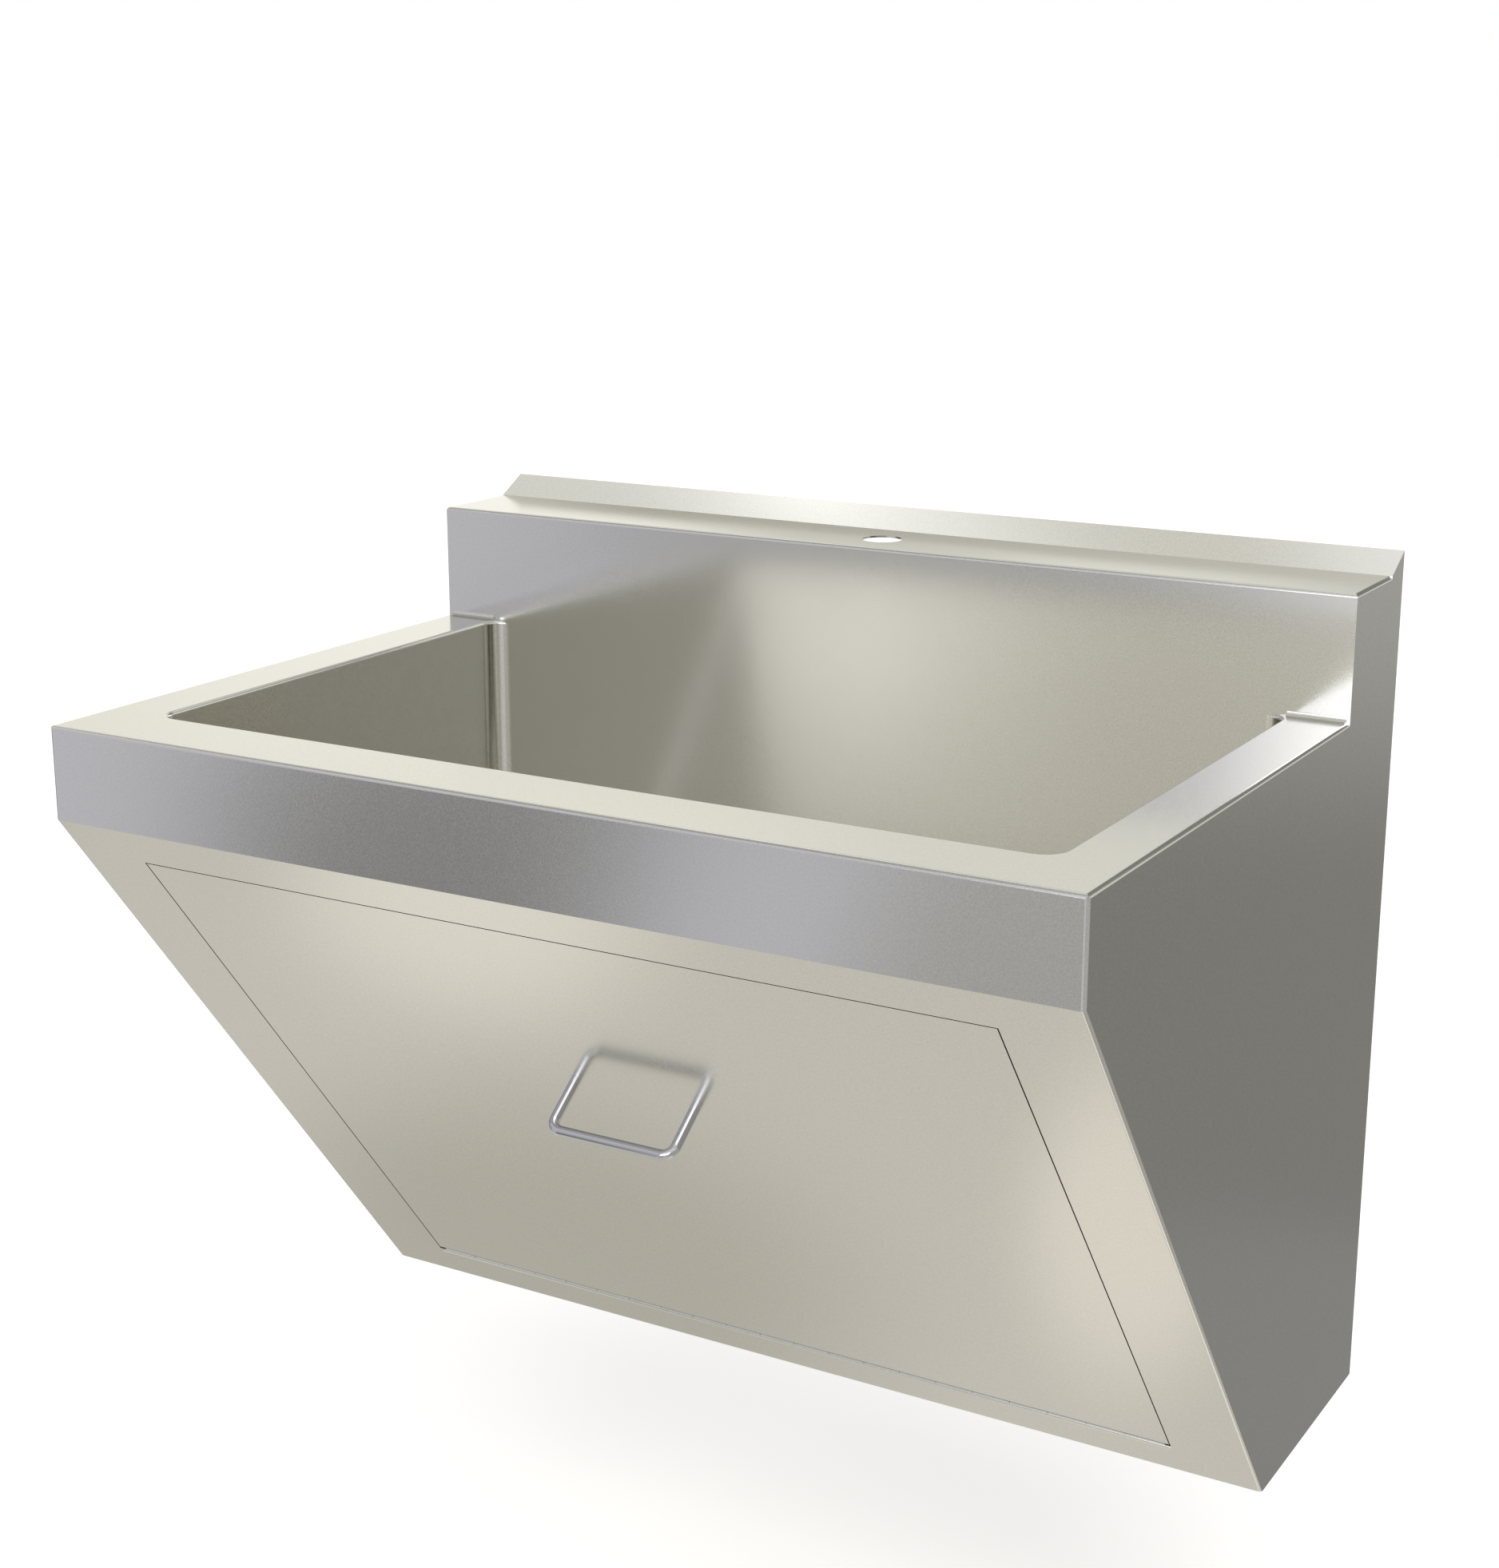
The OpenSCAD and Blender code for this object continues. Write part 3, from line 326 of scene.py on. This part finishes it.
# Finishes
sheetPlan = {
    "base": rgb(0.71, 0.702, 0.66), "warm": rgb(0.73, 0.722, 0.67), "warmShare": 0.8, "speckle": 0.30,
    "rough": 0.165, "cloudRough": 0.05, "grainRough": 0.12, "grain": 900, "grainDetail": 2.0,
    "grainStrength": 0.35, "grainDepth": 0.00002, "cloud": 5.0, "cloudDetail": 4.0, "edge": 0.0003,
    "edgeSamples": 6, "rounded": ["bowl", "backsplash", "rim_deck", "front_apron", "left_side", "right_side"],
}


# Satin sheet steel: fine even grain with a faint speckle, and clouds from polishing. Sheared edges are softened here
# by a radius in metres; the sheets whose edges are already round in the model have none
def satinSheet(name, plan, edgeRadius):
    made, place = startMaterial(name)
    grain = place.noise(plan["grain"], plan["grainDetail"])
    cloud = place.noise(plan["cloud"], plan["cloudDetail"])
    dark, pale = 1 - plan["speckle"] / 2, 1 + plan["speckle"] / 2
    speckle = grain.blend(rgb(dark, dark, dark), rgb(pale, pale, pale))
    shade = (cloud * plan["warmShare"]).blend(plan["base"], plan["warm"]).tinted(speckle)
    rough = plan["rough"] + (cloud - 0.5) * plan["cloudRough"] + (grain - 0.5) * plan["grainRough"]
    bump = {"Strength": plan["grainStrength"], "Distance": plan["grainDepth"], "Height": grain}
    if edgeRadius:
        bump["Normal"] = place.node("ShaderNodeBevel", {"samples": plan["edgeSamples"]}, {"Radius": edgeRadius})
    endFinish(place, shade, rough, bump, 1.0)
    return made


# Painted shade at the panel's foot: full within near, none beyond far, in metres
gapShadePlan = {"near": 0.0012, "far": 0.0020, "dark": rgb(0.16, 0.16, 0.16)}
panelFoot = min((corner.co for corner in nodes["access_panel"].data.vertices), key=lambda spot: spot.z)


# Painted shade in the narrow gap between the panel's foot and the hinge barrel: what lies next to the foot's edge is
# darkened
def hingeGapShade(place, shade, plan):
    gap = ((place.part("Y") - panelFoot.y) ** 2 + (place.part("Z") - panelFoot.z) ** 2) ** 0.5
    return (1 - gap.ramp(plan["near"], plan["far"])).blend(shade, plan["dark"])


platedPlan = {
    "base": rgb(0.60, 0.61, 0.60), "pale": rgb(0.72, 0.73, 0.71), "spangle": 140, "spangleShare": 0.5,
    "haze": 40, "hazeDetail": 4.0, "hazeShare": 0.5, "rough": 0.34, "spangleRough": 0.12, "hazeRough": 0.15,
    "grain": 700, "grainDetail": 2.0, "grainStrength": 0.3, "grainDepth": 0.00005,
}


# Zinc plating: small crystal patches of slightly different gloss
def platedSteel(plan):
    made, place = startMaterial("zinc plated steel")
    patch = place.cells(plan["spangle"], 1)
    tone = patch.node("ShaderNodeSeparateColor", {}, {0: patch})
    haze = place.noise(plan["haze"], plan["hazeDetail"])
    share = tone * plan["spangleShare"] + haze * plan["hazeShare"]
    # The spangled tone, with painted shade where the hinge lies next to the panel's foot
    shade = hingeGapShade(place, share.blend(plan["base"], plan["pale"]), gapShadePlan)
    rough = plan["rough"] + (tone - 0.5) * plan["spangleRough"] + (haze - 0.5) * plan["hazeRough"]
    grain = place.noise(plan["grain"], plan["grainDetail"])
    bump = {"Strength": plan["grainStrength"], "Distance": plan["grainDepth"], "Height": grain}
    endFinish(place, shade, rough, bump, 1.0)
    return made


turnedPlan = {
    "base": rgb(0.74, 0.73, 0.70), "pale": rgb(0.82, 0.81, 0.78), "lines": 2200, "linesDetail": 1.0,
    "linesRoughness": 0.5, "stretch": (1, 0.05, 0.05), "rough": 0.2, "linesRough": 0.12,
    "linesStrength": 0.4, "linesDepth": 0.00002,
}


# Turned steel: fine lathe lines round the pin
def turnedSteel(plan):
    made, place = startMaterial("turned steel")
    lines = place.noise(plan["lines"], plan["linesDetail"], plan["linesRoughness"], plan["stretch"])
    # The lathe lines, with painted shade where the pin lies next to the panel's foot
    shade = hingeGapShade(place, lines.blend(plan["base"], plan["pale"]), gapShadePlan)
    bump = {"Strength": plan["linesStrength"], "Distance": plan["linesDepth"], "Height": lines}
    endFinish(place, shade, plan["rough"] + lines * plan["linesRough"], bump, 1.0)
    return made


polishedPlan = {
    "base": rgb(0.62, 0.62, 0.625), "hazy": rgb(0.57, 0.57, 0.575), "haze": 30, "hazeDetail": 5.0,
    "hazeShare": 0.6, "spots": 260, "spotEdge": (0.30, 0.18), "rough": 0.06, "hazeEdge": (0.45, 0.8),
    "hazeRough": 0.08, "spotRough": 0.05, "hazeStrength": 0.1, "hazeDepth": 0.00003,
}


# Polished fittings: bright, with a little haze and water marks
def polishedFittings(plan):
    made, place = startMaterial("polished fittings")
    haze = place.noise(plan["haze"], plan["hazeDetail"])
    spots = place.cells(plan["spots"]).ramp(*plan["spotEdge"])
    shade = (haze * plan["hazeShare"]).blend(plan["base"], plan["hazy"])
    rough = plan["rough"] + haze.ramp(*plan["hazeEdge"]) * plan["hazeRough"] + spots * plan["spotRough"]
    bump = {"Strength": plan["hazeStrength"], "Distance": plan["hazeDepth"], "Height": haze}
    endFinish(place, shade, rough, bump, 1.0)
    return made


brassPlan = {
    "base": rgb(0.72, 0.55, 0.26), "dull": rgb(0.45, 0.31, 0.14), "cloud": 120, "cloudDetail": 4.0,
    "dullEdge": (0.45, 0.75), "lines": 1800, "linesDetail": 1.0, "linesRoughness": 0.5,
    "stretch": (0.1, 0.1, 1), "rough": 0.24, "dullRough": 0.25, "linesStrength": 0.4, "linesDepth": 0.00003,
}


# Turned brass: lathe lines, and clouds where it has gone dull
def turnedBrass(plan):
    made, place = startMaterial("turned brass")
    dull = place.noise(plan["cloud"], plan["cloudDetail"]).ramp(*plan["dullEdge"])
    lines = place.noise(plan["lines"], plan["linesDetail"], plan["linesRoughness"], plan["stretch"])
    bump = {"Strength": plan["linesStrength"], "Distance": plan["linesDepth"], "Height": lines}
    endFinish(place, dull.blend(plan["base"], plan["dull"]), plan["rough"] + dull * plan["dullRough"], bump, 1.0)
    return made


rubberPlan = {
    "base": rgb(0.035, 0.035, 0.037), "dust": rgb(0.09, 0.088, 0.085), "cloud": 35, "cloudDetail": 5.0,
    "dustEdge": (0.5, 0.85), "pores": 1500, "poresDetail": 2.0, "rough": 0.72, "poresRough": 0.15,
    "poresStrength": 0.6, "poresDepth": 0.0001,
}


# Damping rubber: fine pores, and dust in patches
def dampingRubber(plan):
    made, place = startMaterial("damping rubber")
    dust = place.noise(plan["cloud"], plan["cloudDetail"]).ramp(*plan["dustEdge"])
    pores = place.noise(plan["pores"], plan["poresDetail"])
    bump = {"Strength": plan["poresStrength"], "Distance": plan["poresDepth"], "Height": pores}
    endFinish(place, dust.blend(plan["base"], plan["dust"]), plan["rough"] + pores * plan["poresRough"], bump, 0.0)
    return made


plasticPlan = {
    "base": rgb(0.17, 0.175, 0.18), "pale": rgb(0.21, 0.215, 0.22), "cloud": 80, "cloudDetail": 3.0,
    "grain": 1400, "rough": 0.48, "grainRough": 0.1, "grainStrength": 0.4, "grainDepth": 0.00006,
}


# Moulded plastic of the catches: an even pebbled grain
def catchPlastic(plan):
    made, place = startMaterial("catch plastic")
    grain = place.cells(plan["grain"])
    shade = place.noise(plan["cloud"], plan["cloudDetail"]).blend(plan["base"], plan["pale"])
    bump = {"Strength": plan["grainStrength"], "Distance": plan["grainDepth"], "Height": grain}
    endFinish(place, shade, plan["rough"] + grain * plan["grainRough"], bump, 0.0)
    return made


finishes = {
    "satin_sheet": satinSheet("satin sheet steel", sheetPlan, sheetPlan["edge"]),
    "rounded_sheet": satinSheet("satin sheet steel, rounded edges", sheetPlan, 0),
    "plated_steel": platedSteel(platedPlan),
    "turned_steel": turnedSteel(turnedPlan),
    "polished_fittings": polishedFittings(polishedPlan),
    "brass": turnedBrass(brassPlan),
    "damping_rubber": dampingRubber(rubberPlan),
    "catch_plastic": catchPlastic(plasticPlan),
}


def setFinish(piece, paint):
    if not piece.material_slots:
        piece.data.materials.append(paint)
    for slot in piece.material_slots:
        slot.material = paint


for subpart in frame["record"]["subparts"]:
    rounded = subpart["node"] in sheetPlan["rounded"]
    setFinish(nodes[subpart["node"]], finishes["rounded_sheet" if rounded else subpart["material_slot"]])
print("finishes set")
